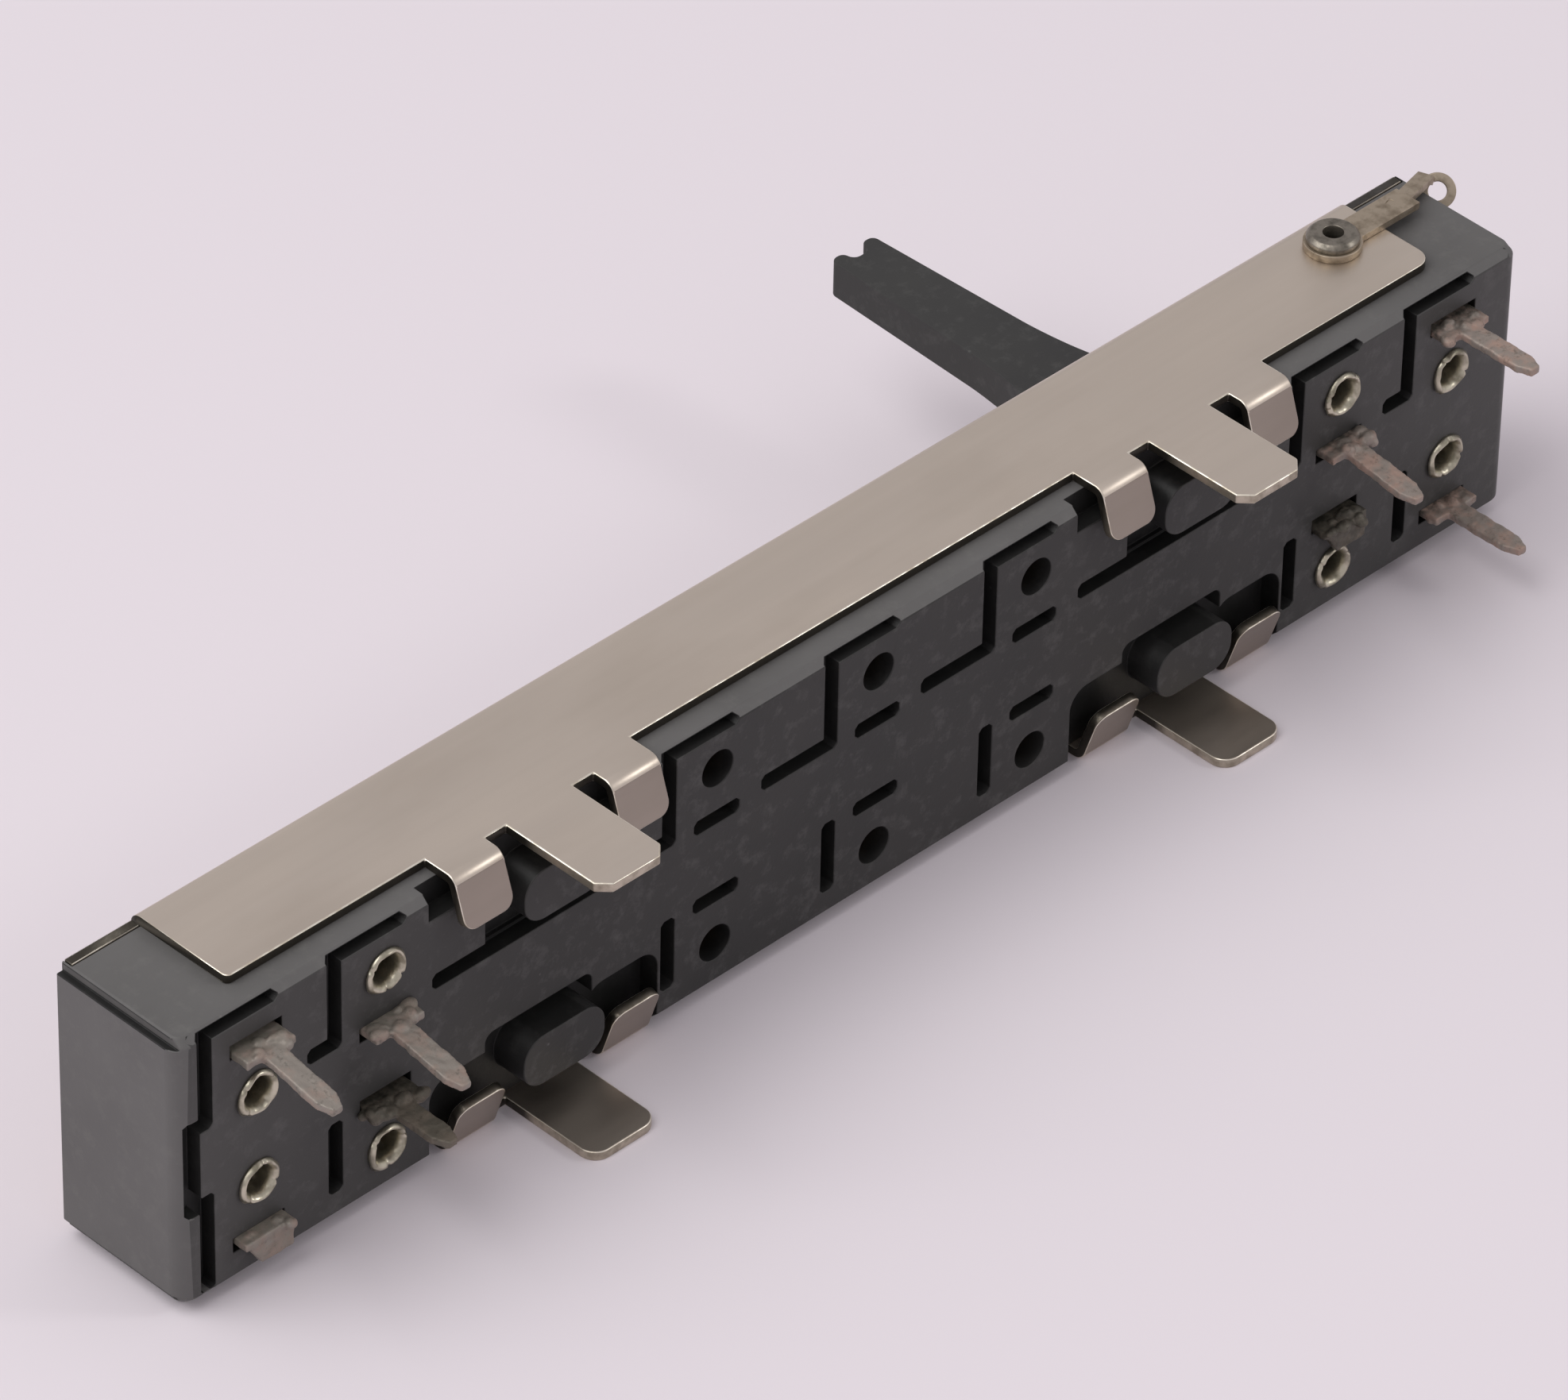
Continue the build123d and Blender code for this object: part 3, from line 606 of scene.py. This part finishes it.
def fused(shape, voxel):
    """The shape's overlapping lumps as one closed skin."""
    mesh = bpy.data.meshes.new("lumps")
    shape.to_mesh(mesh)
    shape.free()
    lumps = bpy.data.objects.new("lumps", mesh)
    bpy.context.scene.collection.objects.link(lumps)
    skin = lumps.modifiers.new("skin", "REMESH")
    skin.mode = "VOXEL"
    skin.voxel_size = voxel
    finished = lumps.evaluated_get(bpy.context.evaluated_depsgraph_get())
    fused_mesh = bpy.data.meshes.new_from_object(finished)
    bpy.data.objects.remove(lumps)
    bpy.data.meshes.remove(mesh)
    shape = bmesh.new()
    shape.from_mesh(fused_mesh)
    bpy.data.meshes.remove(fused_mesh)
    return shape


def soldered_terminal(side, place, finish, lumps, seed):
    """A pin with lumps of solder on its shoulders."""
    node_name = "terminal_" + side + "_" + place
    shape = merged_copy(node_name)
    low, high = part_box("eyelet_" + side + "_" + place)
    column = (low.x + high.x) / 2
    row = middle_z + sides[side] * row_offsets[place.split("_")[0]]
    chance = random.Random(seed)
    for _ in range(lumps):
        along, out, up = (chance.uniform(*reach) * MM for reach in lump_places)
        centre = Vector((column + along, face_y - out, row + up))
        radii = [chance.uniform(*reach) * MM for reach in lump_radii]
        stretched = Matrix.Translation(centre) @ Matrix.Diagonal((*radii, 1))
        bmesh.ops.create_icosphere(shape, subdivisions=3, radius=1.0, matrix=stretched)
    shape = fused(shape, solder_voxel)
    bmesh.ops.smooth_vert(shape, verts=shape.verts, factor=0.5, use_axis_x=True,
                          use_axis_y=True, use_axis_z=True)
    shape.normal_update()
    for vert in shape.verts:
        outside = min(1.0, max(0.0, (face_y - vert.co.y) / relief_onset))
        wave = noise.fractal(vert.co / solder_wave + Vector((seed, 0, 0)), 1.0, 2.0, 3)
        vert.co += vert.normal * wave * outside * solder_relief
    add_piece(node_name + "_soldered", shape, [finish], CHASSIS, [node_name])


def upright_edges(shape, middle_x, half_width, y):
    """Edges along Z that lie half_width to either side of the lever's middle."""
    found = []
    for edge in shape.edges:
        first, second = (vert.co for vert in edge.verts)
        beside = abs(abs(first.x - middle_x) - half_width)
        if max(beside, abs(first.y - y)) < weld_distance and abs(second.z - first.z) > lever_half:
            found.append(edge)
    return found


def lever_blade(middle_x, root_y, back_y, tip_y):
    """The lever as a flat moulding with a notched tip and a neck that flares in a curve."""
    # Half width, place along Y and rounding of each corner on one side
    outline = [
        (neck_half, root_y, 0),
        (neck_half, back_y + neck_length, 0),
        (flare_half, back_y + flare_length, flare_rounding),
        (root_half, back_y + root_length, root_rounding),
        (tip_half, tip_y, tip_rounding),
        (notch_mouth_half, tip_y, notch_mouth_rounding),
        (notch_floor_half, tip_y - notch_depth, tip_rounding),
    ]
    blade = bmesh.new()
    bottom = middle_z - lever_half
    right = [blade.verts.new((middle_x + x, y, bottom)) for x, y, _ in outline]
    left = [blade.verts.new((middle_x - x, y, bottom)) for x, y, _ in reversed(outline)]
    flat = blade.faces.new(right + left)
    grown = bmesh.ops.extrude_face_region(blade, geom=[flat])
    raised = [g for g in grown["geom"] if isinstance(g, bmesh.types.BMVert)]
    bmesh.ops.translate(blade, vec=(0, 0, 2 * lever_half), verts=raised)
    bmesh.ops.recalc_face_normals(blade, faces=blade.faces)
    for half_width, y, rounding in outline:
        if rounding:
            corner = upright_edges(blade, middle_x, half_width, y)
            bmesh.ops.bevel(blade, geom=corner, offset=rounding, segments=6, profile=0.5,
                            affect="EDGES", material=-1, clamp_overlap=True)
    return blade


def lever():
    """The carriage as moulded, with the lever's blade in place of its own."""
    shape = merged_copy("slider")
    low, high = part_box("slider")
    back_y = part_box("cover")[1].y
    cut_y = back_y - 0.2 * MM
    everything = shape.verts[:] + shape.edges[:] + shape.faces[:]
    cut = bmesh.ops.bisect_plane(shape, geom=everything, plane_co=(0, cut_y, 0), plane_no=(0, 1, 0),
                                 clear_outer=True, dist=weld_distance)
    rim = [g for g in cut["geom_cut"] if isinstance(g, bmesh.types.BMEdge)]
    bmesh.ops.holes_fill(shape, edges=rim)
    blade = lever_blade((low.x + high.x) / 2, cut_y - 0.3 * MM, back_y, high.y)
    blade_mesh = bpy.data.meshes.new("blade")
    blade.to_mesh(blade_mesh)
    blade.free()
    shape.from_mesh(blade_mesh)
    bpy.data.meshes.remove(blade_mesh)
    soften_edges(shape, moulding_edge)
    add_piece("slider_moulding", shape, [slider_finish], SLIDE, ["slider"])


housing_moulding()
cover_sheet()
lever()
softened_piece("ground_lug", "ground_lug_strip", lug_finish, CHASSIS, small_edge)
softened_piece("ground_rivet", "ground_rivet_head", rivet_finish, CHASSIS, small_edge)

# Gang, place, finish and number of solder lumps of each terminal
terminal_work = [
    ("upper", "outer_left", grey_tin, 12), ("upper", "inner_left", grey_tin, 16),
    ("upper", "inner_right", pink_tin, 14), ("upper", "outer_right", pink_tin, 7),
    ("lower", "outer_left", grey_tin, 4), ("lower", "inner_left", dark_tin, 18),
    ("lower", "inner_right", dark_tin, 12), ("lower", "outer_right", pink_tin, 8),
]
for seed, (side, place, finish, lumps) in enumerate(terminal_work):
    soldered_terminal(side, place, finish, lumps, seed)
    eyelet("eyelet_" + side + "_" + place, seed)

paint_node("element_board", laminate_finish)
for side in sides:
    paint_node("resistor_track_" + side, carbon_finish)
    paint_node("silver_prints_" + side, silver_finish)
    paint_node("wiper_" + side, bronze_finish)


floor_size = 3.0


def add_floor():
    """Plain pale floor under the part."""
    shape = bmesh.new()
    bmesh.ops.create_grid(shape, x_segments=1, y_segments=1, size=floor_size,
                          matrix=Matrix.Translation((0, 0, floor_z)))
    mesh = bpy.data.meshes.new("floor")
    shape.to_mesh(mesh)
    shape.free()
    finish = Finish("pale_floor", shade(226, 219, 225), 0.9, specular=0.2)
    mesh.materials.append(finish.material)
    floor = bpy.data.objects.new("floor", mesh)
    bpy.context.scene.collection.objects.link(floor)


def add_light(name, place, size, power, colour):
    """A square soft light that points at the middle of the part."""
    lamp = bpy.data.lights.new(name, "AREA")
    lamp.shape = "SQUARE"
    lamp.size = size
    lamp.energy = power
    lamp.color = colour
    light = bpy.data.objects.new(name, lamp)
    light.location = place
    aim = Vector((0, 0, middle_z)) - Vector(place)
    light.rotation_euler = aim.to_track_quat("-Z", "Y").to_euler()
    bpy.context.scene.collection.objects.link(light)


def add_world():
    """Even pale surroundings."""
    world = bpy.data.worlds.new("studio")
    world.use_nodes = True
    background = world.node_tree.nodes["Background"]
    background.inputs["Color"].default_value = shade(226, 222, 225)
    background.inputs["Strength"].default_value = surroundings_level
    bpy.context.scene.world = world


def add_camera():
    """Camera at the photograph's angle and distance."""
    back = Vector((math.sin(view_azimuth) * math.cos(view_elevation),
                   -math.cos(view_azimuth) * math.cos(view_elevation),
                   math.sin(view_elevation)))
    level = Vector((math.cos(view_azimuth), math.sin(view_azimuth), 0))
    upright = back.cross(level)
    right = level * math.cos(view_roll) + upright * math.sin(view_roll)
    up = back.cross(right)
    lens = bpy.data.cameras.new("camera")
    lens.lens = lens_length
    lens.sensor_width = sensor_width
    lens.clip_start = 0.05
    lens.clip_end = 20
    camera = bpy.data.objects.new("camera", lens)
    turn = Matrix((right, up, back)).transposed().to_4x4()
    camera.matrix_world = Matrix.Translation(view_centre + back * view_distance) @ turn
    bpy.context.scene.collection.objects.link(camera)
    bpy.context.scene.camera = camera


add_floor()
add_world()
add_light("soft_key", (-0.45, 0.16, 0.65), size=0.7, power=4.0, colour=(1.0, 0.99, 0.98))
add_light("bright_window", (0.5, -0.52, 0.46), size=0.15, power=0.8, colour=(1.0, 0.99, 0.97))
add_camera()
bpy.context.scene.view_settings.view_transform = "Standard"
